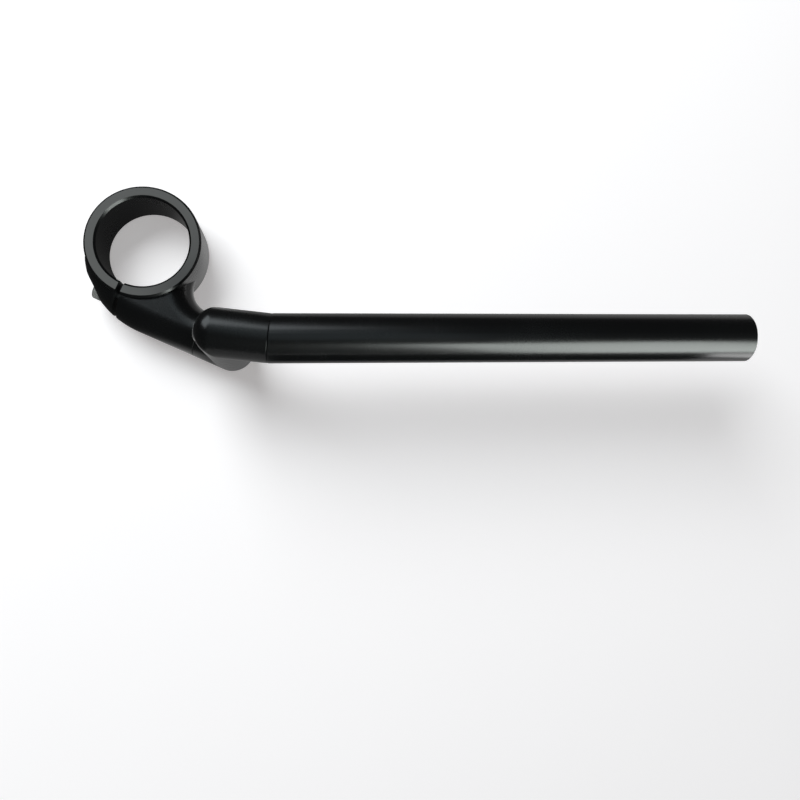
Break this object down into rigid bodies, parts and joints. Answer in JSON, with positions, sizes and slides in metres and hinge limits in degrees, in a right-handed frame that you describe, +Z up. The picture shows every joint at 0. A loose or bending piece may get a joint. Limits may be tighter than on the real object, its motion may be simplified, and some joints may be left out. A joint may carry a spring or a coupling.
{
  "type": "clip-on handlebar",
  "caption": "Clip-on handlebar for a motorcycle fork: a split clamp ring with a pinch bolt, a mitred riser and a straight round bar, bolted together end to end.",
  "frame": {"origin": "on the fork axis, at the clamp ring's mid height", "axes": "+Z up along the fork tube, +X along the bar towards its outer end"},
  "size_m": [0.3126, 0.0891, 0.0586],
  "materials": {
    "black_anodised": "satin black anodised, fine bead-blasted grain",
    "bolt_steel": "bright plated steel"
  },
  "bodies": {
    "root": {"clamp": "black_anodised", "riser": "black_anodised", "handlebar": "black_anodised", "pinch_bolt": "bolt_steel", "bar_bolt": "bolt_steel"}
  },
  "joints": []
}
